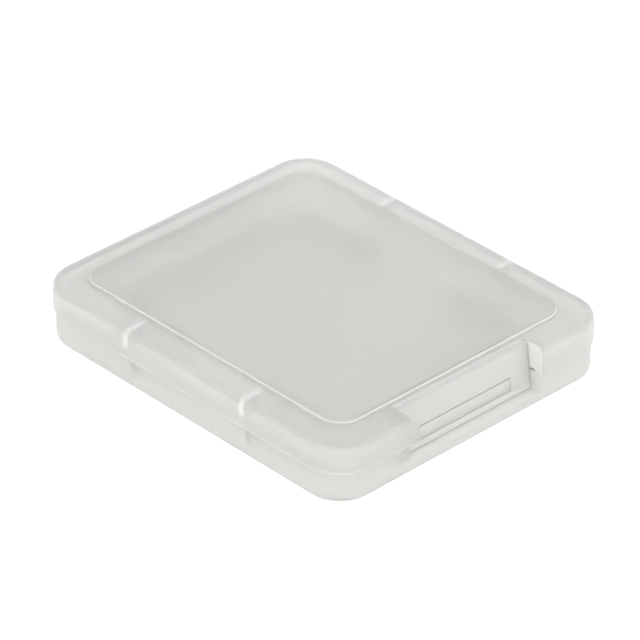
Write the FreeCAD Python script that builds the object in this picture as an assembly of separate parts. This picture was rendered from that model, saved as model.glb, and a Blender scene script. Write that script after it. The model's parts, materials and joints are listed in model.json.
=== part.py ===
import FreeCAD
import Part

import math
import os

# Clamshell case for one full-size memory card, moulded in milky polypropylene.
# A tray and a lid meet at a parting plane at half height. A thin web along the back wall is the
# hinge. At the front a tongue of the lid hangs in a shallow recess, bends at its root and hooks over
# a bead on the tray.
# Origin: centre of the underside of the whole case. +Z up, latch towards -Y, hinge towards +Y.

# Overall sizes, millimetres
CASE_WIDTH = 37.8            # lid, along the hinge
CASE_DEPTH = 44.5            # lid, from the latch wall to the hinge wall
BASE_HEIGHT = 3.6            # underside to the parting plane
RIM_HEIGHT = 3.2             # parting plane to the lid's rim
CORNER_RADIUS = 4.2          # plan corners of the lid
EDGE_ROUND = 0.8             # top edge of the lid and bottom edge of the tray

# Walls
LID_WALL = 1.0
LID_ROOF = 0.9
FLOOR_THICKNESS = 1.0
LID_OVERHANG = 0.25          # the lid's walls stand out past the tray's walls
PARTING_GAP = 0.06           # between the closed halves
LIP_HEIGHT = 0.7             # locating lip that stands up from the tray inside the lid
LIP_THICKNESS = 0.5
LIP_CLEARANCE = 0.15         # between the lip and the lid's walls and gussets

# Raised panel on the lid
PANEL_RAISE = 0.4
PANEL_MARGIN = 3.1           # from the lid's outer walls to the panel
PANEL_CORNER_RADIUS = 2.6
PANEL_EDGE_ROUND = 0.2
PANEL_STEP_WALL = 0.8        # plastic left beside the dished underside of the panel

# Gussets under the lid's long edges, and the tray's ribs in line with them
GUSSET_SPACING = 17.0
GUSSET_THICKNESS = 0.8
GUSSET_REACH = 1.6           # inwards from the lid's wall
RIB_HEIGHT = 1.6             # above the tray's floor

# Card and the brackets that hold it
CARD_WIDTH = 24.0
CARD_LENGTH = 32.0
CARD_THICKNESS = 2.1
CARD_CLEARANCE = 0.2         # round the card and over it
BRACKET_THICKNESS = 0.9
BRACKET_CORNER_RADIUS = 1.5
FINGER_GAP = 12.0            # opening in the brackets beside the card's long edges
NUB_LENGTH = 8.0             # ridge that keeps the card down, at each end of it
NUB_REACH = 0.3
NUB_HEIGHT = 0.5

# Living hinge
HINGE_WIDTH = 28.0
HINGE_WEB = 0.2              # thickness of the web
HINGE_BEND = 0.3             # inner radius of the web when the case is shut
HINGE_STANDOFF = 0.1         # from the lid's back wall to the middle of the bend

# Latch
RECESS_WIDTH = 18.2          # recess for the tongue, in the lid and in the tray's front wall
RECESS_END = 0.8             # end walls of the recess, in both halves
TAB_SIDE_GAP = 0.25          # between the tongue and the ends of the recess
TAB_SETBACK = 1.3            # from the lid's front wall back to the tongue's lower edge
TAB_THICKNESS = 1.2          # at that edge
TAB_LEAN = 0.7               # how far the tongue's face leans back up to its shoulder
TAB_BOTTOM = 1.6             # height of the tongue's lower edge
TAB_FOOT_GAP = 0.3           # between that edge and the tray's sill
TAB_ROUND = 0.25             # outer lower edge of the tongue
SHOULDER_DROP = 0.4          # from the rim down to the foot of the rounded shoulder
SHOULDER_BULGE = 0.1         # how far the shoulder stands out past a straight slope
WINDOW_WIDTH = 12.6
WINDOW_BOTTOM = 2.2
WINDOW_HEIGHT = 1.6
WEB_INSET = 0.15             # from the panel's front edge to the latch groove
LATCH_WEB = 0.28             # thickness of the web at the tongue's root
LATCH_GROOVE_WIDTH = 0.5     # groove over that web
LATCH_GROOVE_DEPTH = 0.12
CATCH_THICKNESS = 0.9
CATCH_SIDE_GAP = 0.5         # from the ends of the recess to the part of the catch inside the lid
CATCH_CLEARANCE = 0.1        # between the bead and the tongue
BEAD_REACH = 0.35
BEAD_HEIGHT = 0.9
BEAD_GAP = 0.1               # from the window's lower edge up to the bead
CATCH_CREST = 1.2            # catch wall above the bead, so that it closes the window from behind

# How deep one solid is sunk into another before the two are joined
BURY = 0.2

# Places worked out from the sizes
HINGE_OUTER = HINGE_BEND + HINGE_WEB
HINGE_BULGE = HINGE_STANDOFF + HINGE_OUTER
FRONT_Y = -(CASE_DEPTH + HINGE_BULGE) / 2
BACK_Y = FRONT_Y + CASE_DEPTH
MIDDLE_Y = (FRONT_Y + BACK_Y) / 2
SIDE_X = CASE_WIDTH / 2
PARTING_Z = BASE_HEIGHT
BASE_TOP_Z = PARTING_Z - PARTING_GAP / 2
LID_BOTTOM_Z = PARTING_Z + PARTING_GAP / 2
RIM_Z = PARTING_Z + RIM_HEIGHT
PANEL_Z = RIM_Z + PANEL_RAISE
ROOF_Z = RIM_Z - LID_ROOF
LIP_TOP_Z = BASE_TOP_Z + LIP_HEIGHT
TRAY_INSET = LID_WALL + LIP_CLEARANCE + LIP_THICKNESS   # lid's outside to the tray's inside
HINGE_Y = BACK_Y + HINGE_STANDOFF
HINGE_AXIS_Y = HINGE_Y + math.sqrt(HINGE_OUTER ** 2 - HINGE_BEND ** 2)   # in the crown of the bend
RECESS_BACK_Y = FRONT_Y + PANEL_MARGIN - WEB_INSET
TAB_ROOT_Y = RECESS_BACK_Y - LATCH_GROOVE_WIDTH
LATCH_Y = (RECESS_BACK_Y + TAB_ROOT_Y) / 2
LATCH_Z = RIM_Z - LATCH_GROOVE_DEPTH - LATCH_WEB / 2
TAB_WIDTH = RECESS_WIDTH - 2 * TAB_SIDE_GAP
TAB_FOOT_Y = FRONT_Y + TAB_SETBACK
TAB_INNER_Y = TAB_FOOT_Y + TAB_THICKNESS
BEAD_TIP_Y = TAB_INNER_Y + CATCH_CLEARANCE
CATCH_OUTER_Y = BEAD_TIP_Y + BEAD_REACH
CATCH_INNER_Y = CATCH_OUTER_Y + CATCH_THICKNESS
BEAD_BOTTOM_Z = WINDOW_BOTTOM + BEAD_GAP
CATCH_TOP_Z = BEAD_BOTTOM_Z + BEAD_HEIGHT + CATCH_CREST
WINDOW_TOP_Z = WINDOW_BOTTOM + WINDOW_HEIGHT
BRACKET_TOP_Z = FLOOR_THICKNESS + CARD_THICKNESS + CARD_CLEARANCE + NUB_HEIGHT

UP = FreeCAD.Vector(0, 0, 1)


def block(low, high):
    """Box between two corners."""
    size = [b - a for a, b in zip(low, high)]
    return Part.makeBox(*size, FreeCAD.Vector(*low))


def plan_face(inset, radius, z):
    """Rounded rectangle at height z, inset from the lid's outline."""
    x = SIDE_X - inset
    return rounded_face(-x, x, FRONT_Y + inset, BACK_Y - inset, radius, z)


def rounded_face(x0, x1, y0, y1, radius, z):
    """Rectangle at height z with round corners."""
    wire = Part.makePolygon([
        FreeCAD.Vector(x0, y0, z),
        FreeCAD.Vector(x1, y0, z),
        FreeCAD.Vector(x1, y1, z),
        FreeCAD.Vector(x0, y1, z),
        FreeCAD.Vector(x0, y0, z),
    ])
    prism = Part.Face(wire).extrude(UP)
    upright = [edge for edge in prism.Edges if edge.BoundBox.ZLength > UP.Length / 2]
    rounded = prism.makeFillet(radius, upright)
    floor = [face for face in rounded.Faces if face.BoundBox.ZMax < z + UP.Length / 2]
    return floor[0]


def level_edges(shape, z):
    """Edges of a shape that lie flat at height z."""
    tolerance = 1e-4
    return [
        edge for edge in shape.Edges
        if abs(edge.BoundBox.ZMin - z) < tolerance and abs(edge.BoundBox.ZMax - z) < tolerance
    ]


def rounded_prism(face, height, round_z=None, round_radius=0.0):
    """Upright prism on a face, with the edges at height round_z rounded."""
    prism = face.extrude(UP * height)
    if round_z is None:
        return prism
    return prism.makeFillet(round_radius, level_edges(prism, round_z))


def along_x(points, x0, x1):
    """Solid with a straight-sided section in the YZ plane, from x0 to x1."""
    corners = [FreeCAD.Vector(x0, y, z) for y, z in points]
    return Part.Face(Part.makePolygon(corners + corners[:1])).extrude(FreeCAD.Vector(x1 - x0, 0, 0))


def along_y(points, y0, y1):
    """Solid with a straight-sided section in the XZ plane, from y0 to y1."""
    corners = [FreeCAD.Vector(x, y0, z) for x, z in points]
    return Part.Face(Part.makePolygon(corners + corners[:1])).extrude(FreeCAD.Vector(0, y1 - y0, 0))


def section_along_x(edges, x0, x1):
    """Solid with a section of lines and arcs drawn at x0, from x0 to x1."""
    wire = Part.Wire([edge.toShape() for edge in edges])
    return Part.Face(wire).extrude(FreeCAD.Vector(x1 - x0, 0, 0))


def tray_shell():
    """Floor and walls of the tray, with the locating lip."""
    outer = rounded_prism(
        plan_face(LID_OVERHANG, CORNER_RADIUS - LID_OVERHANG, 0), BASE_TOP_Z, 0, EDGE_ROUND)
    lip_inset = LID_WALL + LIP_CLEARANCE
    lip = rounded_prism(
        plan_face(lip_inset, CORNER_RADIUS - lip_inset, BASE_TOP_Z - BURY), LIP_HEIGHT + BURY)
    cavity = rounded_prism(
        plan_face(TRAY_INSET, CORNER_RADIUS - TRAY_INSET, FLOOR_THICKNESS), LIP_TOP_Z)
    return outer.fuse(lip).cut(cavity)


def card_brackets():
    """Raised frame round the card, open beside its long edges, with a ridge at each end."""
    def pocket(grow, radius):
        return rounded_face(
            -CARD_WIDTH / 2 - grow, CARD_WIDTH / 2 + grow,
            MIDDLE_Y - CARD_LENGTH / 2 - grow, MIDDLE_Y + CARD_LENGTH / 2 + grow,
            radius, FLOOR_THICKNESS - BURY)

    height = BRACKET_TOP_Z - FLOOR_THICKNESS + BURY
    grow = CARD_CLEARANCE + BRACKET_THICKNESS
    frame = pocket(grow, BRACKET_CORNER_RADIUS).extrude(UP * height)
    inside = block(
        (-CARD_WIDTH / 2 - CARD_CLEARANCE, MIDDLE_Y - CARD_LENGTH / 2 - CARD_CLEARANCE, 0),
        (CARD_WIDTH / 2 + CARD_CLEARANCE, MIDDLE_Y + CARD_LENGTH / 2 + CARD_CLEARANCE, RIM_Z))
    gap = block(
        (-SIDE_X, MIDDLE_Y - FINGER_GAP / 2, 0),
        (SIDE_X, MIDDLE_Y + FINGER_GAP / 2, RIM_Z))
    frame = frame.cut(inside).cut(gap)
    nub_bottom = BRACKET_TOP_Z - NUB_HEIGHT
    for side in (-1, 1):
        wall_y = MIDDLE_Y + side * (CARD_LENGTH / 2 + CARD_CLEARANCE)
        tip_y = wall_y - side * NUB_REACH
        root_y = wall_y + side * BURY
        nub = along_x([
            (root_y, nub_bottom),
            (wall_y, nub_bottom),
            (tip_y, nub_bottom + NUB_HEIGHT / 2),
            (wall_y, BRACKET_TOP_Z),
            (root_y, BRACKET_TOP_Z),
        ], -NUB_LENGTH / 2, NUB_LENGTH / 2)
        frame = frame.fuse(nub)
    return frame


def tray_ribs():
    """Short walls from the tray's long sides to the card brackets."""
    rib_outer = SIDE_X - TRAY_INSET + BURY
    rib_inner = CARD_WIDTH / 2 + CARD_CLEARANCE + BRACKET_THICKNESS - BURY
    ribs = []
    for y in (MIDDLE_Y - GUSSET_SPACING / 2, MIDDLE_Y + GUSSET_SPACING / 2):
        for side in (-1, 1):
            x0, x1 = sorted((side * rib_inner, side * rib_outer))
            ribs.append(block(
                (x0, y - GUSSET_THICKNESS / 2, FLOOR_THICKNESS - BURY),
                (x1, y + GUSSET_THICKNESS / 2, FLOOR_THICKNESS + RIB_HEIGHT)))
    return ribs


def latch_recess(back_y, low_z):
    """Space that is taken out of the front of the lid or of the tray for the tongue."""
    return block(
        (-RECESS_WIDTH / 2, FRONT_Y - BURY, low_z),
        (RECESS_WIDTH / 2, back_y, PANEL_Z + BURY))


def make_base_tray():
    end_x = RECESS_WIDTH / 2 + RECESS_END
    catch_x = RECESS_WIDTH / 2 - CATCH_SIDE_GAP
    catch_foot = block(
        (-end_x, FRONT_Y + LID_OVERHANG + EDGE_ROUND, FLOOR_THICKNESS - BURY),
        (end_x, CATCH_INNER_Y, BASE_TOP_Z))
    catch_wall = block(
        (-catch_x, CATCH_OUTER_Y, FLOOR_THICKNESS - BURY),
        (catch_x, CATCH_INNER_Y, CATCH_TOP_Z))
    bead_x = WINDOW_WIDTH / 2 - TAB_SIDE_GAP
    bead = along_x([
        (CATCH_OUTER_Y + BURY, BEAD_BOTTOM_Z),
        (BEAD_TIP_Y, BEAD_BOTTOM_Z),
        (CATCH_OUTER_Y, BEAD_BOTTOM_Z + BEAD_HEIGHT),
        (CATCH_OUTER_Y + BURY, BEAD_BOTTOM_Z + BEAD_HEIGHT),
    ], -bead_x, bead_x)
    tray = tray_shell().fuse([catch_foot, card_brackets()] + tray_ribs())
    lip_x = end_x + LIP_CLEARANCE
    lip_opening = block(
        (-lip_x, FRONT_Y, BASE_TOP_Z),
        (lip_x, FRONT_Y + TRAY_INSET + BURY, LIP_TOP_Z + BURY))
    tray = tray.cut(latch_recess(CATCH_OUTER_Y, TAB_BOTTOM - TAB_FOOT_GAP)).cut(lip_opening)
    return tray.fuse([catch_wall, bead]).removeSplitter()


def make_lid_shell():
    outer = rounded_prism(
        plan_face(0, CORNER_RADIUS, LID_BOTTOM_Z), RIM_Z - LID_BOTTOM_Z, RIM_Z, EDGE_ROUND)
    panel = rounded_prism(
        plan_face(PANEL_MARGIN, PANEL_CORNER_RADIUS, ROOF_Z), PANEL_Z - ROOF_Z, PANEL_Z, PANEL_EDGE_ROUND)
    hollow = rounded_prism(
        plan_face(LID_WALL, CORNER_RADIUS - LID_WALL, LID_BOTTOM_Z), ROOF_Z - LID_BOTTOM_Z)
    dish = rounded_prism(
        plan_face(PANEL_MARGIN + PANEL_STEP_WALL, PANEL_CORNER_RADIUS - PANEL_STEP_WALL, ROOF_Z),
        PANEL_RAISE)
    shell = outer.fuse(panel).cut(hollow).cut(dish)
    wall_x = SIDE_X - LID_WALL
    gusset_foot = LIP_TOP_Z + LIP_CLEARANCE
    for y in (MIDDLE_Y - GUSSET_SPACING / 2, MIDDLE_Y + GUSSET_SPACING / 2):
        for side in (-1, 1):
            shell = shell.fuse(along_y([
                (side * (wall_x + BURY), gusset_foot),
                (side * wall_x, gusset_foot),
                (side * (wall_x - GUSSET_REACH), ROOF_Z),
                (side * (wall_x - GUSSET_REACH), ROOF_Z + BURY),
                (side * (wall_x + BURY), ROOF_Z + BURY),
            ], y - GUSSET_THICKNESS / 2, y + GUSSET_THICKNESS / 2))
    end_x = RECESS_WIDTH / 2 + RECESS_END
    recess_walls = block(
        (-end_x, FRONT_Y + LID_WALL - BURY, LID_BOTTOM_Z),
        (end_x, RECESS_BACK_Y, ROOF_Z + BURY))
    return shell.fuse(recess_walls).cut(latch_recess(RECESS_BACK_Y, 0)).removeSplitter()


def make_living_hinge():
    """Web folded outwards in a U behind the two back walls, with the hinge axis in the crown of its bend."""
    x0 = -HINGE_WIDTH / 2
    x1 = HINGE_WIDTH / 2
    tray_y = BACK_Y - LID_OVERHANG

    def at(y, dz):
        return FreeCAD.Vector(x0, y, PARTING_Z + dz)

    outside = Part.Arc(
        at(HINGE_Y, -HINGE_OUTER), at(HINGE_Y + HINGE_OUTER, 0), at(HINGE_Y, HINGE_OUTER))
    inside = Part.Arc(
        at(HINGE_Y, HINGE_BEND), at(HINGE_Y + HINGE_BEND, 0), at(HINGE_Y, -HINGE_BEND))
    return section_along_x([
        Part.LineSegment(at(tray_y, -HINGE_OUTER), at(HINGE_Y, -HINGE_OUTER)),
        outside,
        Part.LineSegment(at(HINGE_Y, HINGE_OUTER), at(BACK_Y, HINGE_OUTER)),
        Part.LineSegment(at(BACK_Y, HINGE_OUTER), at(BACK_Y, HINGE_BEND)),
        Part.LineSegment(at(BACK_Y, HINGE_BEND), at(HINGE_Y, HINGE_BEND)),
        inside,
        Part.LineSegment(at(HINGE_Y, -HINGE_BEND), at(tray_y, -HINGE_BEND)),
        Part.LineSegment(at(tray_y, -HINGE_BEND), at(tray_y, -HINGE_OUTER)),
    ], x0, x1)


def make_latch_web():
    """Flat web under a shallow groove between the lid's roof and the tongue, with the flexing axis in it."""
    return block(
        (-TAB_WIDTH / 2, TAB_ROOT_Y, LATCH_Z - LATCH_WEB / 2),
        (TAB_WIDTH / 2, RECESS_BACK_Y, LATCH_Z + LATCH_WEB / 2))


def make_latch_tab():
    """Tongue that turns down from the web over a round shoulder and carries the catch window."""
    x0 = -TAB_WIDTH / 2
    x1 = TAB_WIDTH / 2
    shoulder_y = TAB_FOOT_Y + TAB_LEAN
    shoulder_z = RIM_Z - SHOULDER_DROP
    slope = math.hypot(TAB_ROOT_Y - shoulder_y, SHOULDER_DROP)
    bulge_y = (TAB_ROOT_Y + shoulder_y) / 2 - SHOULDER_BULGE * SHOULDER_DROP / slope
    bulge_z = (RIM_Z + shoulder_z) / 2 + SHOULDER_BULGE * (TAB_ROOT_Y - shoulder_y) / slope
    inner_corner_z = ROOF_Z - SHOULDER_DROP

    def at(y, z):
        return FreeCAD.Vector(x0, y, z)

    tongue = section_along_x([
        Part.Arc(at(TAB_ROOT_Y, RIM_Z), at(bulge_y, bulge_z), at(shoulder_y, shoulder_z)),
        Part.LineSegment(at(shoulder_y, shoulder_z), at(TAB_FOOT_Y, TAB_BOTTOM)),
        Part.LineSegment(at(TAB_FOOT_Y, TAB_BOTTOM), at(TAB_INNER_Y, TAB_BOTTOM)),
        Part.LineSegment(at(TAB_INNER_Y, TAB_BOTTOM), at(TAB_INNER_Y, inner_corner_z)),
        Part.LineSegment(at(TAB_INNER_Y, inner_corner_z), at(TAB_ROOT_Y, ROOF_Z)),
        Part.LineSegment(at(TAB_ROOT_Y, ROOF_Z), at(TAB_ROOT_Y, RIM_Z)),
    ], x0, x1)
    outer_lower_edge = [
        edge for edge in level_edges(tongue, TAB_BOTTOM) if edge.BoundBox.YMax < TAB_FOOT_Y + BURY
    ]
    tongue = tongue.makeFillet(TAB_ROUND, outer_lower_edge)
    window = block(
        (-WINDOW_WIDTH / 2, FRONT_Y, WINDOW_BOTTOM),
        (WINDOW_WIDTH / 2, TAB_INNER_Y + BURY, WINDOW_TOP_Z))
    return tongue.cut(window)


PIECES = {
    "base_tray": make_base_tray,
    "lid_shell": make_lid_shell,
    "living_hinge": make_living_hinge,
    "latch_web": make_latch_web,
    "latch_tab": make_latch_tab,
}

os.makedirs("parts", exist_ok=True)
for node, make in PIECES.items():
    shape = make()
    shape.exportStep(f"parts/{node}.step")
    box = shape.BoundBox
    print(f"{node}: solids {len(shape.Solids)}, valid {shape.isValid()}, volume {shape.Volume:.2f} mm3")
    print(f"  x {box.XMin:.2f}..{box.XMax:.2f}, y {box.YMin:.2f}..{box.YMax:.2f}")
    print(f"  z {box.ZMin:.2f}..{box.ZMax:.2f}")
print(f"hinge axis: y {HINGE_AXIS_Y:.3f}, z {PARTING_Z:.3f}")
print(f"latch axis: y {LATCH_Y:.3f}, z {LATCH_Z:.3f}")
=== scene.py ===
# %% [markdown]
# # A memory card case in milky polypropylene
# The object is a shallow clamshell, moulded in one shot: a tray, a lid, a thin web at the back that
# works as the hinge, and a tongue at the front that snaps over a bead on the tray. The construction
# model already fixes every size and joint, so this lesson only makes it look like the real moulding.
# We start by loading that model as a fixed frame and keep its box, which places the camera.

# %% Load the frame
import json
import math

import bmesh
import bpy
from mathutils import Matrix, Vector


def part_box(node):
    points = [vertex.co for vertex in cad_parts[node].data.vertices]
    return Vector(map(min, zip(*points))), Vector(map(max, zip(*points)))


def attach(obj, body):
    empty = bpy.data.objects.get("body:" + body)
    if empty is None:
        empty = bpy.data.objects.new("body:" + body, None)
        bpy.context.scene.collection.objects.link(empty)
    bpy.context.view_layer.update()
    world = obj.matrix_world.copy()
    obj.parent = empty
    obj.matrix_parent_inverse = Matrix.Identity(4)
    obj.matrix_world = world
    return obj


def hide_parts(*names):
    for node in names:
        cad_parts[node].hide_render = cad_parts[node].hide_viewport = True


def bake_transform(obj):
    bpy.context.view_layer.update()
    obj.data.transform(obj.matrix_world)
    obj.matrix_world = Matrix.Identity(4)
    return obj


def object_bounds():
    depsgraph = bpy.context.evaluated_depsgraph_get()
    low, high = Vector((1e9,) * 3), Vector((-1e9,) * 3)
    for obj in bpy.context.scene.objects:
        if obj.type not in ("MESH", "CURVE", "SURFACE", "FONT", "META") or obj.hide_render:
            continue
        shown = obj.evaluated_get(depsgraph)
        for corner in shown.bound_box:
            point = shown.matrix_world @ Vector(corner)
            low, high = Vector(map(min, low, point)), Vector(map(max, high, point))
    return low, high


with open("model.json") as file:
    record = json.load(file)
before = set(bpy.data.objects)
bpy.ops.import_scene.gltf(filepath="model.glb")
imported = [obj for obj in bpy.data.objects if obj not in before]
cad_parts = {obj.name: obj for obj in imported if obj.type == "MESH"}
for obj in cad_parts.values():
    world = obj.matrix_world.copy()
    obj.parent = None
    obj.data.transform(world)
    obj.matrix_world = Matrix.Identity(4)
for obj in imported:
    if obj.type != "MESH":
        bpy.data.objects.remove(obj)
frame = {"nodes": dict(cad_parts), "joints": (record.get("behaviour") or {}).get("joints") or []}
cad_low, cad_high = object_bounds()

print("nodes:", ", ".join(frame["nodes"]))

# %% [markdown]
# Blender works in metres here, but a case of 45 mm is easier to think about in millimetres, and
# bevels and booleans are steadier on numbers near one. So all shapes are drawn in millimetres and
# shrunk once, when a piece is finished. Outer sizes and the joint axes come from the frame, and only
# wall thicknesses and small rounds, which no box can tell, are written down.

# %% Sizes in millimetres
MM = 0.001


def box_in_mm(node):
    """Lowest and highest corner of a construction node, in millimetres."""
    low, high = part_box(node)
    return low / MM, high / MM


lid_low, lid_high = box_in_mm("lid_shell")
tray_high = box_in_mm("base_tray")[1]
tongue_low, tongue_high = box_in_mm("latch_tab")
hinge_low, hinge_high = box_in_mm("living_hinge")
groove_low, groove_high = box_in_mm("latch_web")
axis_at = {joint["name"]: Vector(joint["pos_m"]) / MM for joint in frame["joints"]}

middle_y = (lid_low.y + lid_high.y) / 2
half_width = lid_high.x
half_depth = (lid_high.y - lid_low.y) / 2
PARTING_GAP = 0.06
tray_top = lid_low.z - PARTING_GAP
CORNER_RADIUS = 4.2
EDGE_ROUND = 0.8
print(f"case: {2 * half_width:.1f} x {2 * half_depth:.1f} x {lid_high.z:.1f} mm, axes at {axis_at}")

# %% [markdown]
# The camera stands where the photographer's did: a little above and to the left of the latch corner,
# far away with a long lens, so that parallel edges stay nearly parallel. The lens is worked out from
# how many picture points one millimetre of the case should take.

# %% Camera
VIEW_AZIMUTH = math.radians(-43.4)
VIEW_ELEVATION = math.radians(32.7)
VIEW_DISTANCE = 487.0
PICTURE_WIDTH = 640
POINTS_PER_MM = 9.9
SENSOR_WIDTH = 36.0

to_camera = Vector((
    math.sin(VIEW_AZIMUTH) * math.cos(VIEW_ELEVATION),
    -math.cos(VIEW_AZIMUTH) * math.cos(VIEW_ELEVATION),
    math.sin(VIEW_ELEVATION),
))
camera = bpy.data.cameras.new("camera")
camera.sensor_width = SENSOR_WIDTH
camera.lens = SENSOR_WIDTH * POINTS_PER_MM * VIEW_DISTANCE / PICTURE_WIDTH
camera.clip_start = 0.01
camera.clip_end = 10.0
camera_object = bpy.data.objects.new("camera", camera)
bpy.context.scene.collection.objects.link(camera_object)
camera_object.location = (cad_low + cad_high) / 2 + to_camera * VIEW_DISTANCE * MM
camera_object.rotation_euler = to_camera.to_track_quat("Z", "Y").to_euler()
bpy.context.scene.camera = camera_object
print(f"camera: {camera.lens:.0f} mm lens at {VIEW_DISTANCE:.0f} mm")

# %% [markdown]
# Colours are written as sRGB hex values, as a colour picker shows them, and turned to the linear
# numbers that the renderer wants. A single helper adds any node, sets its properties and either sets
# or links its inputs. Shader trees and geometry trees both use it.

# %% Helpers for colours and nodes


def linear(hex_colour):
    """Linear RGBA of an sRGB hex colour such as '#D8DAD6'."""
    channels = [int(hex_colour[i:i + 2], 16) / 255 for i in (1, 3, 5)]
    return [c / 12.92 if c <= 0.04045 else ((c + 0.055) / 1.055) ** 2.4 for c in channels] + [1.0]


def add_node(tree, kind, inputs=None, **settings):
    """Adds a node with its properties, and sets or links its inputs by name or number."""
    node = tree.nodes.new(kind)
    for name, value in settings.items():
        setattr(node, name, value)
    for socket, value in (inputs or {}).items():
        if isinstance(value, bpy.types.NodeSocket):
            tree.links.new(value, node.inputs[socket])
        else:
            node.inputs[socket].default_value = value
    return node


def new_material(name):
    """Material with an empty node tree; gives the material and its tree."""
    material = bpy.data.materials.new(name)
    material.use_nodes = True
    material.node_tree.nodes.clear()
    return material, material.node_tree


print("mid grey #808080 in linear numbers:", [round(channel, 3) for channel in linear("#808080")])

# %% [markdown]
# A translucent thing is read by the light that comes through it, so it stands on a light table: a
# sheet of opal acrylic with a soft glow from below. A plain white floor would do for a solid thing, but
# under this one it lies in shade, and the case comes out greyer.

# %% Light table
FLOOR_SIZE = 4.0
FLOOR_DROP = 0.02 * MM
CLOUD_SIZE = 10.0 * MM
TABLE_GLOW = 0.75

acrylic, tree = new_material("matt opal acrylic, lit from below")
place = add_node(tree, "ShaderNodeTexCoord").outputs["Object"]
clouds = add_node(tree, "ShaderNodeTexNoise", {"Vector": place, "Scale": 1 / CLOUD_SIZE, "Detail": 3.0})
glow_tone = add_node(tree, "ShaderNodeMix", {
    "Factor": clouds.outputs["Fac"], "A": linear("#F6F6F5"), "B": linear("#F9F9F8"),
}, data_type="RGBA")
glow = add_node(tree, "ShaderNodeEmission", {"Color": glow_tone.outputs["Result"], "Strength": TABLE_GLOW})
surface = add_node(tree, "ShaderNodeBsdfDiffuse", {"Color": linear("#BCBCBB")})
lit_surface = add_node(tree, "ShaderNodeAddShader", {0: surface.outputs["BSDF"], 1: glow.outputs["Emission"]})
add_node(tree, "ShaderNodeOutputMaterial", {"Surface": lit_surface.outputs["Shader"]})

floor_mesh = bpy.data.meshes.new("floor")
corner = FLOOR_SIZE / 2
floor_mesh.from_pydata([
    (-corner, -corner, -FLOOR_DROP), (corner, -corner, -FLOOR_DROP),
    (corner, corner, -FLOOR_DROP), (-corner, corner, -FLOOR_DROP),
], [], [(0, 1, 2, 3)])
floor_mesh.materials.append(acrylic)
floor = bpy.data.objects.new("floor", floor_mesh)
bpy.context.scene.collection.objects.link(floor)
print(f"light table: {FLOOR_SIZE:.0f} m wide, {acrylic.name}")

# %% [markdown]
# Round the table hangs a light tent, a little brighter at its sides than at its top, which helps to
# make the walls of the case lighter than its lid. Two large soft lamps, one for each of the two walls
# that the camera sees, add the gentle shine on edges. A small lamp, low behind the case, makes the far
# half of the lid a little lighter than the near half.

# %% Light tent and lamps
TENT_SIDE = 1.02
TENT_TOP = 0.9
# Places and sizes in metres, power in watts.
LAMPS = {
    "left lamp": {"at": (-0.5, -0.3, 0.2), "size": 0.5, "power": 0.35},
    "front lamp": {"at": (0.35, -0.5, 0.2), "size": 0.5, "power": 0.2},
    "back lamp": {"at": (0.1, 0.11, 0.045), "size": 0.08, "power": 0.01},
}

world = bpy.data.worlds.new("light tent")
world.use_nodes = True
tent = world.node_tree
tent.nodes.clear()
direction = add_node(tent, "ShaderNodeTexCoord").outputs["Generated"]
upwards = add_node(tent, "ShaderNodeSeparateXYZ", {0: direction}).outputs["Z"]
cloth = add_node(tent, "ShaderNodeMapRange", {"Value": upwards, "To Min": TENT_SIDE, "To Max": TENT_TOP})
backdrop = add_node(tent, "ShaderNodeBackground", {
    "Color": (1.0, 1.0, 1.0, 1.0), "Strength": cloth.outputs["Result"]})
add_node(tent, "ShaderNodeOutputWorld", {"Surface": backdrop.outputs["Background"]})
bpy.context.scene.world = world
bpy.context.scene.view_settings.view_transform = "Standard"

for name, lamp in LAMPS.items():
    light = bpy.data.lights.new(name, "AREA")
    light.shape = "DISK"
    light.size = lamp["size"]
    light.energy = lamp["power"]
    light_object = bpy.data.objects.new(name, light)
    light_object.location = lamp["at"]
    light_object.rotation_euler = Vector(lamp["at"]).to_track_quat("Z", "Y").to_euler()
    bpy.context.scene.collection.objects.link(light_object)
print("light: a tent and", len(LAMPS), "lamps")

# %% [markdown]
# Polypropylene without pigment is milky: tiny crystals scatter the light, so a wall of 1 mm lets most
# of it through but blurs what lies behind. The mould's spark-eroded steel leaves a fine satin grain
# that breaks up the shine. Real scattering inside the wall would be slow and noisy to render, so the
# shader is rough glass mixed with a little white: the rough part blurs, the white part is the milk, and
# a weak clear coat stands for the smooth skin. Where light runs a long way through the plastic, as in
# a gusset, it looks whiter. So the mix comes in six grades, from the clear panel to the whitest lines,
# and each face of a piece gets its grade by its place. Most grades also paint light: the walls are
# milkier than the panel, partly for the longer path through them and partly as painted light that
# keeps them lighter than the lid; the two whitest grades paint the highlight on the panel's edge and
# light that lifts the shade at the foot, the parting line and the latch. The webs have a mix of their
# own, nearly as white as the lines, because polypropylene whitens where it bends, and also as
# painted light in the shade of the groove.

# %% Milky polypropylene, moulded against satin steel
MILK_TONE = "#F9FAF7"
FLOW_TONE = "#FDFDFB"
WEB_TONE = "#FBFBF9"
FLOW_LENGTH = 9.0 * MM
# The real grain, taken as 0.05 mm, is finer than a picture point, so it is drawn five times as coarse.
GRAIN_SIZE = 0.25 * MM
GRAIN_DEPTH = 0.02 * MM
SATIN_ROUGHNESS = 0.35
SATIN_SPREAD = 0.04
POLYPROPYLENE_IOR = 1.49
# Share of rough glass in the mix, by place.
CLEARNESS = {
    "panel": 0.74, "walls": 0.66, "edges": 0.59, "corners": 0.5, "thick places and painted light": 0.32, "crisp lines of painted light": 0.18}
WEB_CLEARNESS = 0.25


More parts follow.
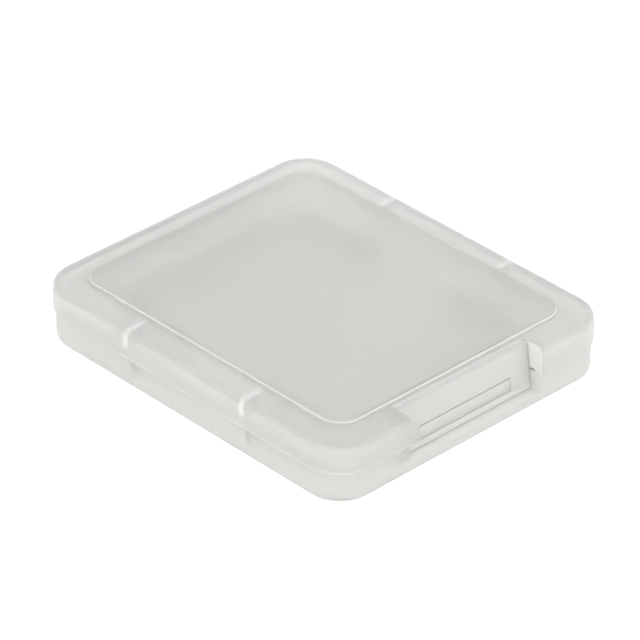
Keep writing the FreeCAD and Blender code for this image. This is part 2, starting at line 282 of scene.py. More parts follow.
def moulded_polypropylene(name, clearness, tone):
    """Milky polypropylene with faint flow streaks and a fine satin grain."""
    material, tree = new_material(name)
    place = add_node(tree, "ShaderNodeTexCoord").outputs["Object"]
    flow = add_node(tree, "ShaderNodeTexNoise", {
        "Vector": place, "Scale": 1 / FLOW_LENGTH, "Detail": 3.0, "Distortion": 0.6})
    grain = add_node(tree, "ShaderNodeTexNoise", {
        "Vector": place, "Scale": 1 / GRAIN_SIZE, "Detail": 2.0})
    colour = add_node(tree, "ShaderNodeMix", {
        "Factor": flow.outputs["Fac"], "A": linear(tone), "B": linear(FLOW_TONE)}, data_type="RGBA")
    satin = add_node(tree, "ShaderNodeMapRange", {
        "Value": flow.outputs["Fac"],
        "To Min": SATIN_ROUGHNESS - SATIN_SPREAD, "To Max": SATIN_ROUGHNESS + SATIN_SPREAD})
    relief = add_node(tree, "ShaderNodeBump", {
        "Height": grain.outputs["Fac"], "Strength": 0.08, "Distance": GRAIN_DEPTH})
    plastic = add_node(tree, "ShaderNodeBsdfPrincipled", {
        "Base Color": colour.outputs["Result"],
        "Roughness": satin.outputs["Result"],
        "Normal": relief.outputs["Normal"],
        "IOR": POLYPROPYLENE_IOR,
        "Transmission Weight": clearness,
        "Coat Weight": 0.3,
        "Coat Roughness": 0.1,
    })
    add_node(tree, "ShaderNodeOutputMaterial", {"Surface": plastic.outputs["BSDF"]})
    return material


# The two whitest grades whiten thick plastic and also paint highlights and light in shaded places.
PANEL, WALL, EDGE, CORNER, THICK_AND_PAINTED_LIGHT, PAINTED_LIGHT_LINE = range(len(CLEARNESS))
MILK = [
    moulded_polypropylene(f"moulded milky polypropylene, {place}", clearness, MILK_TONE)
    for place, clearness in CLEARNESS.items()
]
# The web's white is partly real whitening by bending and partly painted light in the shade of the groove.
web_plastic = moulded_polypropylene("polypropylene web, whitened by bending", WEB_CLEARNESS, WEB_TONE)
print("materials:", ", ".join(plastic.name for plastic in MILK + [web_plastic]))

# %% [markdown]
# Both halves follow one rule: a wall profile carried round a rounded rectangle. So the profile is
# drawn as pairs of inset and height, each pair becomes a ring of points, and a loft joins the rings.
# Rounded edges are part of the profile, as arcs, which keeps their highlights clean.

# %% Rings, arcs and lofts
CORNER_STEPS = 14
ARC_STEPS = 5


def arc(inset, height, radius, start, stop):
    """Pairs of inset and height on an arc about a centre, angles in degrees."""
    pairs = []
    for step in range(ARC_STEPS + 1):
        angle = math.radians(start + (stop - start) * step / ARC_STEPS)
        pairs.append((inset + radius * math.cos(angle), height + radius * math.sin(angle)))
    return pairs


def outline_ring(inset, height, corner_radius, side_stops=()):
    """Rounded rectangle inset from the lid's walls, with extra points at these y on its long sides.

    corner_radius is the radius that the corners would have at no inset.
    """
    radius = corner_radius - inset
    points = []
    for turn, (side_x, side_y) in enumerate(((1, 1), (-1, 1), (-1, -1), (1, -1))):
        centre_x = side_x * (half_width - inset - radius)
        centre_y = middle_y + side_y * (half_depth - inset - radius)
        for step in range(CORNER_STEPS + 1):
            angle = math.radians(90 * (turn + step / CORNER_STEPS))
            points.append((centre_x + radius * math.cos(angle), centre_y + radius * math.sin(angle), height))
        if side_x * side_y < 0:
            walk = sorted(side_stops, reverse=side_y > 0)
            points += [(side_x * (half_width - inset), y, height) for y in walk]
    return points


def loft(name, rings, mix=PANEL, mix_at=None):
    """Closed object in millimetres through rings of equal length, in one of the milky mixes.

    mix_at(band, middle of a face), if there is one, tells the mix for each face between two rings.
    """
    shape = bmesh.new()
    loops = [[shape.verts.new(point) for point in ring] for ring in rings]
    shape.faces.new(loops[0]).material_index = mix
    shape.faces.new(loops[-1]).material_index = mix
    for band, (first, second) in enumerate(zip(loops, loops[1:])):
        for i in range(len(first)):
            face = shape.faces.new((first[i - 1], first[i], second[i], second[i - 1]))
            face.material_index = mix_at(band, face.calc_center_median()) if mix_at else mix
    bmesh.ops.recalc_face_normals(shape, faces=shape.faces)
    for face in shape.faces:
        face.smooth = True
    mesh = bpy.data.meshes.new(name)
    shape.to_mesh(mesh)
    shape.free()
    for plastic in MILK:
        mesh.materials.append(plastic)
    made = bpy.data.objects.new(name, mesh)
    bpy.context.scene.collection.objects.link(made)
    return made


def block(name, low, high, mix=PANEL):
    """Box between two corners, in millimetres."""
    rectangle = ((low[0], low[1]), (high[0], low[1]), (high[0], high[1]), (low[0], high[1]))
    return loft(name, [[(x, y, z) for x, y in rectangle] for z in (low[2], high[2])], mix)


def along_x(name, section, low_x, high_x, mix=PANEL):
    """Bar with a section of (y, z) points, from low_x to high_x."""
    return loft(name, [[(x, y, z) for y, z in section] for x in (low_x, high_x)], mix)


print("points in a plain ring:", len(outline_ring(0.0, 0.0, CORNER_RADIUS)))

# %% [markdown]
# A moulding has no sharp edge: steel tools wear and plastic shrinks. After pieces are united and cut,
# a small bevel softens every edge that is still sharp, and weighted normals keep the flat faces flat
# beside it. The result becomes a plain mesh at the origin, in metres.

# %% Uniting, cutting and finishing a moulding
SOFT_EDGE = 0.08
SHARP_ANGLE = math.radians(42)


def combine(shell, operation, *others):
    """Unites other objects with a shell or cuts them out of it."""
    for other in others:
        modifier = shell.modifiers.new(other.name, "BOOLEAN")
        modifier.operation = operation
        modifier.solver = "EXACT"
        modifier.object = other
        other.hide_render = True


def softened(shell, soft_edge, plastic=None):
    """Plain object in metres with soft edges, from a shell with its modifiers.

    plastic, if there is one, replaces the shell's milky mixes.
    """
    bevel = shell.modifiers.new("soft edges", "BEVEL")
    bevel.width = soft_edge
    bevel.segments = 2
    bevel.limit_method = "ANGLE"
    bevel.angle_limit = SHARP_ANGLE
    bevel.use_clamp_overlap = False
    bevel.miter_outer = "MITER_ARC"
    shell.modifiers.new("flat faces stay flat", "WEIGHTED_NORMAL").keep_sharp = True
    ready = shell.evaluated_get(bpy.context.evaluated_depsgraph_get())
    mesh = bpy.data.meshes.new_from_object(ready)
    mesh.transform(Matrix.Scale(MM, 4))
    if plastic:
        mesh.materials.clear()
        mesh.materials.append(plastic)
    piece = bpy.data.objects.new(shell.name, mesh)
    bpy.context.scene.collection.objects.link(piece)
    used = [shell] + [m.object for m in shell.modifiers if m.type == "BOOLEAN"]
    for leftover in used:
        bpy.data.objects.remove(leftover)
    return piece


def finish_moulding(name, *pieces):
    """One named object from softened pieces."""
    first = pieces[0]
    if len(pieces) > 1:
        with bpy.context.temp_override(active_object=first, selected_editable_objects=list(pieces)):
            bpy.ops.object.join()
    first.name = name
    first.data.name = name
    first.data.calc_loop_triangles()
    print(f"{name}: {len(first.data.loop_triangles)} triangles")
    return first


print(f"soft edges: {SOFT_EDGE} mm, where faces meet at more than {math.degrees(SHARP_ANGLE):.0f} degrees")

# %% [markdown]
# Four gussets stiffen the lid's long walls, and four low ribs tie the tray's walls to the card
# brackets, in line with them. Both are one rule with other numbers: a small wall at each corner of a
# rectangle, whose lower inner edge may be drawn back to make it a gusset. That is a good small
# Geometry Nodes tree: a grid gives the places and an instance on each point gives the wall.

# %% Geometry Nodes: paired stiffening walls


def new_geometry_tree(name, sizes):
    """Geometry tree with one number input for each name in sizes; gives the tree and its inputs."""
    tree = bpy.data.node_groups.new(name, "GeometryNodeTree")
    tree.interface.new_socket("Geometry", in_out="OUTPUT", socket_type="NodeSocketGeometry")
    for size in sizes:
        tree.interface.new_socket(size, in_out="INPUT", socket_type="NodeSocketFloat")
    return tree, add_node(tree, "NodeGroupInput").outputs


def grown(name, tree, **sizes):
    """Plain mesh object in millimetres from a geometry tree with these sizes."""
    seed = bpy.data.objects.new(name, bpy.data.meshes.new(name))
    bpy.context.scene.collection.objects.link(seed)
    modifier = seed.modifiers.new(tree.name, "NODES")
    modifier.node_group = tree
    for socket in tree.interface.items_tree:
        if socket.in_out == "INPUT":
            modifier[socket.identifier] = float(sizes[socket.name.replace(" ", "_")])
    ready = seed.evaluated_get(bpy.context.evaluated_depsgraph_get())
    mesh = bpy.data.meshes.new_from_object(ready)
    seed.modifiers.remove(modifier)
    seed.data = mesh
    print(f"{name}: {len(mesh.polygons)} faces grown")
    return seed


stiffeners, size = new_geometry_tree("stiffening walls", (
    "outer x", "inner x", "spacing", "middle y", "thickness", "low z", "high z", "draw back"))
length = add_node(stiffeners, "ShaderNodeMath", {
    0: size["outer x"], 1: size["inner x"]}, operation="SUBTRACT")
height = add_node(stiffeners, "ShaderNodeMath", {0: size["high z"], 1: size["low z"]}, operation="SUBTRACT")
wall_size = add_node(stiffeners, "ShaderNodeCombineXYZ", {
    "X": length.outputs[0], "Y": size["thickness"], "Z": height.outputs[0]})
wall = add_node(stiffeners, "GeometryNodeMeshCube", {"Size": wall_size.outputs[0]})
spot = add_node(stiffeners, "ShaderNodeSeparateXYZ", {
    0: add_node(stiffeners, "GeometryNodeInputPosition").outputs[0]})
inner_end = add_node(stiffeners, "FunctionNodeCompare", {0: spot.outputs["X"], 1: 0.0}, operation="LESS_THAN")
lower_end = add_node(stiffeners, "FunctionNodeCompare", {0: spot.outputs["Z"], 1: 0.0}, operation="LESS_THAN")
toe = add_node(stiffeners, "FunctionNodeBooleanMath", {
    0: inner_end.outputs[0], 1: lower_end.outputs[0]}, operation="AND")
toe_shift = add_node(stiffeners, "ShaderNodeCombineXYZ", {"X": size["draw back"]})
gusset = add_node(stiffeners, "GeometryNodeSetPosition", {
    "Geometry": wall.outputs["Mesh"], "Selection": toe.outputs[0], "Offset": toe_shift.outputs[0]})
span = add_node(stiffeners, "ShaderNodeMath", {0: size["outer x"], 1: size["inner x"]}, operation="ADD")
places = add_node(stiffeners, "GeometryNodeMeshGrid", {
    "Size X": span.outputs[0], "Size Y": size["spacing"], "Vertices X": 2, "Vertices Y": 2})
left_side = add_node(stiffeners, "FunctionNodeCompare", {0: spot.outputs["X"], 1: 0.0}, operation="LESS_THAN")
half_turn = add_node(stiffeners, "ShaderNodeMath", {
    0: left_side.outputs[0], 1: math.pi}, operation="MULTIPLY")
facing = add_node(stiffeners, "ShaderNodeCombineXYZ", {"Z": half_turn.outputs[0]})
copies = add_node(stiffeners, "GeometryNodeInstanceOnPoints", {
    "Points": places.outputs["Mesh"], "Instance": gusset.outputs["Geometry"], "Rotation": facing.outputs[0]})
solid = add_node(stiffeners, "GeometryNodeRealizeInstances", {0: copies.outputs[0]})
mid_z = add_node(stiffeners, "ShaderNodeMath", {0: size["high z"], 1: size["low z"]}, operation="ADD")
half_z = add_node(stiffeners, "ShaderNodeMath", {0: mid_z.outputs[0], 1: 0.5}, operation="MULTIPLY")
lift = add_node(stiffeners, "ShaderNodeCombineXYZ", {"Y": size["middle y"], "Z": half_z.outputs[0]})
placed = add_node(stiffeners, "GeometryNodeTransform", {
    "Geometry": solid.outputs[0], "Translation": lift.outputs[0]})
coated = add_node(stiffeners, "GeometryNodeSetMaterial", {
    "Geometry": placed.outputs[0], "Material": MILK[PANEL]})
add_node(stiffeners, "NodeGroupOutput", {0: coated.outputs[0]})
print("tree:", stiffeners.name, "with", len(stiffeners.nodes), "nodes")

# %% [markdown]
# The lid is the piece that the eye meets first: a shallow cap with a rounded rim and a raised flat
# panel whose crisp edge carries a thin painted highlight. Its profile starts in the middle of the panel,
# runs out over the rim, down the wall, and back up on the inside, so one loft makes the whole shell
# with its thickness. Extra points on the long sides mark the places of the gussets behind the wall.

# %% Lid profile
LID_WALL = 1.0
LID_ROOF = 0.9
PANEL_RAISE = 0.4
PANEL_MARGIN = 3.1
PANEL_CORNER_RADIUS = 2.6
PANEL_EDGE_ROUND = 0.2
PANEL_STEP_WALL = 0.8
FOOT_ROUND = 0.12
SKIRT_ROUND = 0.12
ROOF_FILLET = 0.1
GUSSET_SPACING = 17.0
GUSSET_REACH = 1.6
GUSSET_MARK_FOOT = 4.9
# Distances from a gusset's middle, along the wall, at which its mark begins, is whitest, and ends.
GUSSET_MARK = (-0.5, -0.28, 0.28, 0.5)

panel_z = lid_high.z
rim_z = panel_z - PANEL_RAISE
roof_z = rim_z - LID_ROOF
dish_z = panel_z - LID_ROOF
dish_inset = PANEL_MARGIN + PANEL_STEP_WALL
gusset_inset = LID_WALL + GUSSET_REACH
panel_corner = PANEL_CORNER_RADIUS + PANEL_MARGIN

panel_skin = (
    arc(PANEL_MARGIN + PANEL_EDGE_ROUND, panel_z - PANEL_EDGE_ROUND, PANEL_EDGE_ROUND, 90, 180)
    + arc(PANEL_MARGIN - FOOT_ROUND, rim_z + FOOT_ROUND, FOOT_ROUND, 0, -90)
)
wall_skin = (
    [(gusset_inset, rim_z)]
    + arc(EDGE_ROUND, rim_z - EDGE_ROUND, EDGE_ROUND, 90, 180)
    + [(0.0, GUSSET_MARK_FOOT)]
    + arc(SKIRT_ROUND, lid_low.z + SKIRT_ROUND, SKIRT_ROUND, 180, 270)
    + arc(LID_WALL - SKIRT_ROUND, lid_low.z + SKIRT_ROUND, SKIRT_ROUND, 270, 360)
    + arc(LID_WALL + ROOF_FILLET, roof_z - ROOF_FILLET, ROOF_FILLET, 180, 90)
)
dish_skin = (
    arc(dish_inset - FOOT_ROUND, roof_z + FOOT_ROUND, FOOT_ROUND, 270, 360)
    + arc(dish_inset + FOOT_ROUND, dish_z - FOOT_ROUND, FOOT_ROUND, 180, 90)
)
gusset_middles = [middle_y - GUSSET_SPACING / 2, middle_y + GUSSET_SPACING / 2]
side_stops = [y + shift for y in gusset_middles for shift in GUSSET_MARK]
lid_rings = [outline_ring(inset, z, panel_corner, side_stops) for inset, z in panel_skin]
lid_rings += [outline_ring(inset, z, CORNER_RADIUS, side_stops) for inset, z in wall_skin]
lid_rings += [outline_ring(inset, z, panel_corner, side_stops) for inset, z in dish_skin]
print(f"lid profile: {len(lid_rings)} rings of {len(lid_rings[0])} points")

# %% [markdown]
# The grade of milk follows from the band of the profile that a face lies in: whitest on the panel's
# crisp edge, a painted highlight; white over the gussets; white on the wall's lower edge, painted light
# that lifts the shade of the parting line; milky on the rim and the wall, partly painted light that keeps
# them lighter than the lid; and clearest on the panel and inside.

# %% Lid shell
# Grades of the painted highlight on the panel's rounded edge, by band, counted from the flat top.
PAINTED_PANEL_HIGHLIGHT = {1: THICK_AND_PAINTED_LIGHT, 2: PAINTED_LIGHT_LINE, 3: THICK_AND_PAINTED_LIGHT}

panel_bands = len(panel_skin)
mark_bands = range(panel_bands, panel_bands + ARC_STEPS + 2)
skirt_bands = range(mark_bands.stop + 1, mark_bands.stop + 2 * ARC_STEPS + 2)
outer_bands = range(ARC_STEPS - 1, skirt_bands.start)


def lid_mix(band, middle):
    """Grade of milk for a face of the lid."""
    off_gusset = min(abs(middle.y - y) for y in gusset_middles)
    if band in mark_bands and off_gusset < GUSSET_MARK[-1]:
        return THICK_AND_PAINTED_LIGHT if off_gusset < GUSSET_MARK[-2] else CORNER
    if band in PAINTED_PANEL_HIGHLIGHT:
        return PAINTED_PANEL_HIGHLIGHT[band]
    if band in outer_bands:
        return EDGE
    # Painted light: the skirt's rounds are whiter to lift the shade of the parting line.
    if band in skirt_bands:
        return THICK_AND_PAINTED_LIGHT
    return PANEL


lid = loft("lid loft", lid_rings, mix_at=lid_mix)
print(f"lid shell: {len(lid.data.polygons)} faces")

# %% [markdown]
# The recess for the tongue is cut out of the lid's front, with a wall at each end. The gussets stay
# shells of their own inside the lid's object, a hair's breadth off wall and roof, so that they can be
# softened and given a milkier mix by themselves.

# %% Recess and gussets
GUSSET_THICKNESS = 0.8
GUSSET_TOE = 0.25
FINE_GAP = 0.02
LIP_HEIGHT = 0.7
LIP_CLEARANCE = 0.15
TAB_SIDE_GAP = 0.15
RECESS_HALF = tongue_high.x + TAB_SIDE_GAP
RECESS_END = 0.8
BURY = 0.2

lip_top = tray_top + LIP_HEIGHT
wall_x = half_width - LID_WALL
gussets = grown(
    "lid gussets", stiffeners, outer_x=wall_x - FINE_GAP, inner_x=wall_x - GUSSET_REACH,
    spacing=GUSSET_SPACING, middle_y=middle_y, thickness=GUSSET_THICKNESS,
    low_z=lip_top + LIP_CLEARANCE, high_z=roof_z - FINE_GAP, draw_back=GUSSET_REACH - GUSSET_TOE)
recess_end_x = RECESS_HALF + RECESS_END
# The recess stops short by its soft edge, which then ends where the web does.
recess_back_y = groove_high.y - SOFT_EDGE
# The recess's end walls are whiter, painted light that lifts the shade in the recess.
recess_walls = block(
    "recess walls", (-recess_end_x, lid_low.y + LID_WALL - BURY, lid_low.z + 2 * SKIRT_ROUND),
    (recess_end_x, recess_back_y, roof_z + BURY), THICK_AND_PAINTED_LIGHT)
# The cut faces take the whitest grade, painted light that lifts the shade in the recess.
lid_recess = block(
    "lid recess", (-RECESS_HALF, lid_low.y - BURY, lid_low.z - BURY),
    (RECESS_HALF, recess_back_y, panel_z + BURY), PAINTED_LIGHT_LINE)
combine(lid, "UNION", recess_walls)
combine(lid, "DIFFERENCE", lid_recess)
lid_piece = finish_moulding(
    "moulded_lid", softened(lid, SOFT_EDGE), softened(gussets, SOFT_EDGE, MILK[THICK_AND_PAINTED_LIGHT]))

# %% [markdown]
# The card lies between two brackets that stand on the tray's floor, open beside its long edges for a
# fingertip. The brackets are a strip that follows a rounded rectangle, so a second tree sweeps a bar
# along that path and cuts the finger gap out of it.

# %% Geometry Nodes: card brackets
BRACKET_CORNER_STEPS = 8
RIGHT_THROUGH = 100.0

brackets, size = new_geometry_tree(
    "card brackets", ("width", "length", "middle y", "radius", "thickness", "low z", "high z", "finger gap"))
path = add_node(brackets, "GeometryNodeCurvePrimitiveQuadrilateral", {
    "Width": size["width"], "Height": size["length"]})
rounded = add_node(brackets, "GeometryNodeFilletCurve", {
    "Curve": path.outputs[0], "Radius": size["radius"], "Limit Radius": True,
    "Count": BRACKET_CORNER_STEPS}, mode="POLY")
height = add_node(brackets, "ShaderNodeMath", {0: size["high z"], 1: size["low z"]}, operation="SUBTRACT")
section = add_node(brackets, "GeometryNodeCurvePrimitiveQuadrilateral", {
    "Width": size["thickness"], "Height": height.outputs[0]})
strip = add_node(brackets, "GeometryNodeCurveToMesh", {
    "Curve": rounded.outputs[0], "Profile Curve": section.outputs[0]})
gap_size = add_node(brackets, "ShaderNodeCombineXYZ", {
    "X": RIGHT_THROUGH, "Y": size["finger gap"], "Z": RIGHT_THROUGH})
gap = add_node(brackets, "GeometryNodeMeshCube", {"Size": gap_size.outputs[0]})
pair = add_node(brackets, "GeometryNodeMeshBoolean", {
    "Mesh 1": strip.outputs[0], "Mesh 2": gap.outputs["Mesh"]}, operation="DIFFERENCE", solver="EXACT")
mid_z = add_node(brackets, "ShaderNodeMath", {0: size["high z"], 1: size["low z"]}, operation="ADD")
half_z = add_node(brackets, "ShaderNodeMath", {0: mid_z.outputs[0], 1: 0.5}, operation="MULTIPLY")
lift = add_node(brackets, "ShaderNodeCombineXYZ", {"Y": size["middle y"], "Z": half_z.outputs[0]})
placed = add_node(brackets, "GeometryNodeTransform", {
    "Geometry": pair.outputs[0], "Translation": lift.outputs[0]})
solid = add_node(brackets, "GeometryNodeRealizeInstances", {0: placed.outputs[0]})
coated = add_node(brackets, "GeometryNodeSetMaterial", {
    "Geometry": solid.outputs[0], "Material": MILK[PANEL]})
add_node(brackets, "NodeGroupOutput", {0: coated.outputs[0]})
print("tree:", brackets.name, "with", len(brackets.nodes), "nodes")

# %% [markdown]
# The tray is the same rule as the lid, upside down: underside, rounded foot, wall, a step inwards at
# the parting plane, and a thin lip that stands up inside the lid and keeps dust out. Its ledge is painted
# whitest, painted light that lifts the shade of the parting line, and its foot whiter, painted light that
# lifts the shade where it meets the floor.

# %% Tray shell
FLOOR_THICKNESS = 1.0
LID_OVERHANG = 0.25
LIP_THICKNESS = 0.5
LIP_ROUND = 0.15
LEDGE_ROUND = 0.1
FLOOR_FILLET = 0.5
# Heights on the outer wall at which the painted light at the foot begins to fade, and ends.
FLOOR_GLOW = (1.7, 2.2)

lip_inset = LID_WALL + LIP_CLEARANCE
tray_inset = lip_inset + LIP_THICKNESS
tray_skin = (
    arc(LID_OVERHANG + EDGE_ROUND, EDGE_ROUND, EDGE_ROUND, 270, 180)
    + [(LID_OVERHANG, z) for z in FLOOR_GLOW]
    + arc(LID_OVERHANG + LEDGE_ROUND, tray_top - LEDGE_ROUND, LEDGE_ROUND, 180, 90)
    + [(lip_inset, tray_top)]
    + arc(lip_inset + LIP_ROUND, lip_top - LIP_ROUND, LIP_ROUND, 180, 90)
    + arc(tray_inset - LIP_ROUND, lip_top - LIP_ROUND, LIP_ROUND, 90, 0)
    + arc(tray_inset + FLOOR_FILLET, FLOOR_THICKNESS + FLOOR_FILLET, FLOOR_FILLET, 180, 270)
)
tray_rings = [outline_ring(inset, z, CORNER_RADIUS) for inset, z in tray_skin]
foot_bands = range(ARC_STEPS)
floor_edge = foot_bands.stop
ledge_bands = range(ARC_STEPS + 3, 2 * ARC_STEPS + 5)


def tray_mix(band, middle):
    """Grade of milk for a face of the tray, by its band alone."""
    # Painted light: the ledge and the foot get whiter grades to lift their shade.
    if band in ledge_bands:
        return THICK_AND_PAINTED_LIGHT
    if band == floor_edge:
        return CORNER
    if band in foot_bands or band == floor_edge + 1:
        return EDGE
    return WALL if band < ledge_bands.start else PANEL


tray = loft("tray loft", tray_rings, mix_at=tray_mix)
print(f"tray shell: {len(tray.data.polygons)} faces")

# %% [markdown]
# On the tray's floor stand the brackets that hold the card by its corners and ends, ribs that tie them
# to the walls, and on each of the two brackets a nub that the card snaps under.

# %% Brackets, ribs and nubs
CARD_WIDTH = 24.0
CARD_LENGTH = 32.0
CARD_CLEARANCE = 0.2
BRACKET_THICKNESS = 0.9
BRACKET_RADIUS = 1.0
BRACKET_TOP = 3.8
FINGER_GAP = 12.0
RIB_HEIGHT = 1.6
NUB_LENGTH = 8.0
NUB_REACH = 0.3
NUB_HEIGHT = 0.5

bracket_pair = grown(
    "card bracket pair", brackets, width=CARD_WIDTH + 2 * CARD_CLEARANCE + BRACKET_THICKNESS,
    length=CARD_LENGTH + 2 * CARD_CLEARANCE + BRACKET_THICKNESS, middle_y=middle_y, radius=BRACKET_RADIUS,
    thickness=BRACKET_THICKNESS, low_z=FLOOR_THICKNESS - BURY, high_z=BRACKET_TOP, finger_gap=FINGER_GAP)
ribs = grown(
    "tray ribs", stiffeners, outer_x=half_width - tray_inset + BURY,
    inner_x=CARD_WIDTH / 2 + CARD_CLEARANCE + BRACKET_THICKNESS - BURY, spacing=GUSSET_SPACING,
    middle_y=middle_y, thickness=GUSSET_THICKNESS, low_z=FLOOR_THICKNESS - BURY,
    high_z=FLOOR_THICKNESS + RIB_HEIGHT, draw_back=0.0)

# A nub starts far enough below the bracket's top to leave room for both soft edges.
nub_top = BRACKET_TOP - 3 * SOFT_EDGE
nub_foot = nub_top - NUB_HEIGHT
nubs = []
for side in (-1, 1):
    stop_y = middle_y + side * (CARD_LENGTH / 2 + CARD_CLEARANCE)
    nubs.append(along_x(f"card nub {side}", [
        (stop_y + side * BURY, nub_foot), (stop_y, nub_foot),
        (stop_y - side * NUB_REACH, nub_top - NUB_HEIGHT / 2), (stop_y, nub_top),
        (stop_y + side * BURY, nub_top)], -NUB_LENGTH / 2, NUB_LENGTH / 2))
print(f"inside the tray: brackets, ribs and {len(nubs)} nubs")

# %% [markdown]
# The front wall is cut away for the tongue, down to a sill. Behind the tongue stands a wall that
# carries the bead, and the bead reaches into the tongue's window and nearly fills it, as on a shut
# case. The gaps round it are narrow, because the photograph shows hardly any dark line there.

# %% Catch and bead
TAB_FOOT_GAP = 0.15
CATCH_GAP = 0.45
CATCH_THICKNESS = 0.9
CATCH_SIDE_GAP = 0.5
WINDOW_HALF = 6.3
WINDOW_BOTTOM = 2.2
WINDOW_TOP = 3.8
BEAD_GAP = 0.05
BEAD_BITE = 0.85
BEAD_FACE = 1.45
BEAD_HEIGHT = 1.55

tongue_inner_y = tongue_high.y
catch_outer_y = tongue_inner_y + CATCH_GAP
catch_inner_y = catch_outer_y + CATCH_THICKNESS
catch_x = RECESS_HALF - CATCH_SIDE_GAP
catch_foot = block(
    "catch foot", (-recess_end_x, lid_low.y + LID_OVERHANG + EDGE_ROUND, FLOOR_THICKNESS - BURY),
    (recess_end_x, catch_inner_y, tray_top - LEDGE_ROUND))
lip_x = recess_end_x + LIP_CLEARANCE
lip_opening = block(
    "lip opening", (-lip_x, lid_low.y, tray_top), (lip_x, lid_low.y + tray_inset + BURY, panel_z))
sill_z = tongue_low.z - TAB_FOOT_GAP
# The cut faces of the front wall are whiter, painted light that lifts the shade round the tongue.
tray_recess = block(
    "tray recess", (-RECESS_HALF, lid_low.y - BURY, sill_z), (RECESS_HALF, catch_outer_y, panel_z), THICK_AND_PAINTED_LIGHT)
# The catch wall and the bead are whiter than the tray's walls, painted light that lifts the shade seen
# through the window.
catch_wall = block(
    "catch wall", (-catch_x, catch_outer_y, FLOOR_THICKNESS - BURY),
    (catch_x, catch_inner_y, tray_high.z), EDGE)
bead_x = WINDOW_HALF - BEAD_GAP
bead_tip_y = tongue_inner_y - BEAD_BITE
bead_low = WINDOW_BOTTOM + BEAD_GAP
bead_high = bead_low + BEAD_HEIGHT
bead = along_x("catch bead", [
    (catch_outer_y + BURY, bead_low), (bead_tip_y, bead_low), (bead_tip_y, bead_low + BEAD_FACE),
    (catch_outer_y, bead_high), (catch_outer_y + BURY, bead_high)], -bead_x, bead_x, CORNER)
combine(tray, "UNION", catch_foot, bracket_pair, ribs, *nubs)
combine(tray, "DIFFERENCE", tray_recess, lip_opening)
combine(tray, "UNION", catch_wall, bead)
tray_piece = finish_moulding("moulded_tray", softened(tray, SOFT_EDGE))

# %% [markdown]
# The tongue turns down from its groove over a round shoulder, leans out a little towards its foot so
# that a fingernail finds it, and carries a window for the bead. Its section is drawn once and pulled
# along the hinge's direction, and the window is cut out before the edges are softened. Its ends, the
# window's sides and the bar under the window are painted whiter, painted light that lifts their shade.

# %% Latch tongue
TONGUE_LEAN = 0.7
SHOULDER_DROP = 0.4
SHOULDER_BULGE = 0.1
SHOULDER_STEPS = 4
TONGUE_EDGE = 0.1

root = Vector((groove_low.y, rim_z))
shoulder = Vector((tongue_low.y + TONGUE_LEAN, rim_z - SHOULDER_DROP))
outwards = Vector((shoulder.y - root.y, root.x - shoulder.x)).normalized()
tongue_section = []
for step in range(SHOULDER_STEPS + 1):
    share = step / SHOULDER_STEPS
    bulge = SHOULDER_BULGE * 4 * share * (1 - share)
    tongue_section.append(tuple(root.lerp(shoulder, share) + outwards * bulge))
foot = Vector((tongue_low.y, tongue_low.z))
bar_share = (WINDOW_BOTTOM - foot.y) / (shoulder.y - foot.y)
tongue_section += [
    tuple(foot.lerp(shoulder, bar_share)), tuple(foot), (tongue_inner_y, tongue_low.z),
    (tongue_inner_y, roof_z - SHOULDER_DROP), (groove_low.y, roof_z)]
tongue = along_x("tongue bar", tongue_section, tongue_low.x, tongue_high.x, CORNER)
# Painted light: the ends and the bar under the window get whiter grades to lift their shade.
for face in tongue.data.polygons:
    if abs(face.center.x) > WINDOW_HALF:
        face.material_index = PAINTED_LIGHT_LINE
    elif face.center.z < WINDOW_BOTTOM:
        face.material_index = THICK_AND_PAINTED_LIGHT
window = block(
    "catch window", (-WINDOW_HALF, lid_low.y, WINDOW_BOTTOM),
    (WINDOW_HALF, tongue_inner_y + BURY, WINDOW_TOP), PAINTED_LIGHT_LINE)
combine(tongue, "DIFFERENCE", window)
tongue_piece = finish_moulding("latch_tongue", softened(tongue, TONGUE_EDGE))

# %% [markdown]
# Two thin webs let the one moulding move. Behind the back walls a strip bent into a U is the hinge,
# and under the groove at the tongue's root lies a flat strip where the tongue bends. Both get enough
# points across the bend to turn smoothly.

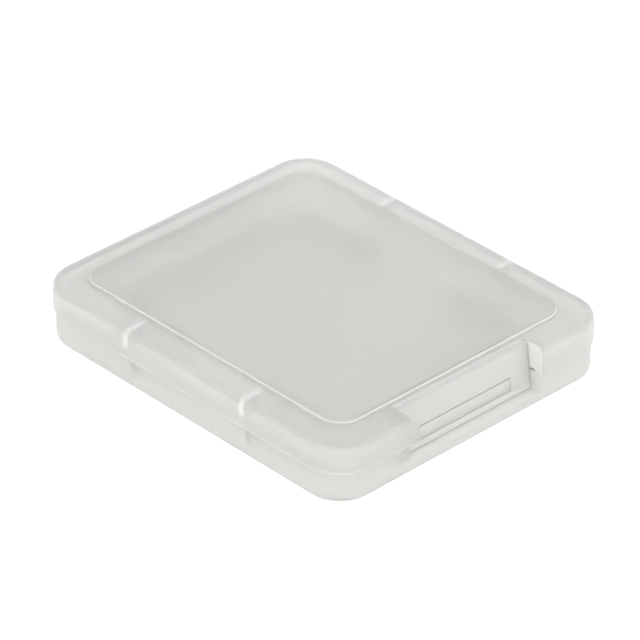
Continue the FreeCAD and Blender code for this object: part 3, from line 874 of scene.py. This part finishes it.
# %% Hinge web and latch web
BEND_STEPS = 20
GROOVE_STEPS = 10
HINGE_THICKNESS = 0.2
WEB_EDGE = 0.03
WEB_ROOT = 0.15

hinge_outer = (hinge_high.z - hinge_low.z) / 2
hinge_bend = hinge_outer - HINGE_THICKNESS
hinge_centre = Vector((hinge_high.y - hinge_outer, axis_at["lid_hinge"].z))
outer_bend = []
inner_bend = []
for step in range(BEND_STEPS + 1):
    angle = math.radians(-90 + 180 * step / BEND_STEPS)
    ray = Vector((math.cos(angle), math.sin(angle)))
    outer_bend.append(tuple(hinge_centre + ray * hinge_outer))
    inner_bend.append(tuple(hinge_centre + ray * hinge_bend))
hinge_section = (
    [(hinge_low.y, hinge_low.z)] + outer_bend + [(lid_high.y, hinge_high.z)]
    + [(lid_high.y, hinge_high.z - HINGE_THICKNESS)] + inner_bend[::-1]
    + [(hinge_low.y, hinge_low.z + HINGE_THICKNESS)]
)
hinge = along_x("hinge strip", hinge_section, hinge_low.x, hinge_high.x)
hinge_piece = finish_moulding("hinge_web", softened(hinge, WEB_EDGE, web_plastic))

groove_step = (groove_high.y - groove_low.y) / GROOVE_STEPS
groove_y = [groove_low.y + groove_step * i for i in range(GROOVE_STEPS + 1)]
groove_y = [groove_low.y - WEB_ROOT] + groove_y + [groove_high.y + WEB_ROOT]
groove_section = [(y, groove_low.z) for y in groove_y] + [(y, groove_high.z) for y in reversed(groove_y)]
groove = along_x("groove strip", groove_section, groove_low.x, groove_high.x)
groove_piece = finish_moulding("latch_groove", softened(groove, WEB_EDGE, web_plastic))

# %% [markdown]
# Now every piece is tied to the construction model: the node that it stands for is hidden, and each
# rigid piece rides on the body that carries it.

# %% Riding and replacing
RIGID = {
    "base": (tray_piece, "base_tray"),
    "lid": (lid_piece, "lid_shell"),
    "latch": (tongue_piece, "latch_tab"),
}
for body, (piece, node) in RIGID.items():
    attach(piece, body)
    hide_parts(node)

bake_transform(hinge_piece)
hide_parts("living_hinge")
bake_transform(groove_piece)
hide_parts("latch_web")
rigid_names = [piece.name for piece, node in RIGID.values()]
print("rigid pieces:", *rigid_names, "and webs:", hinge_piece.name, groove_piece.name)
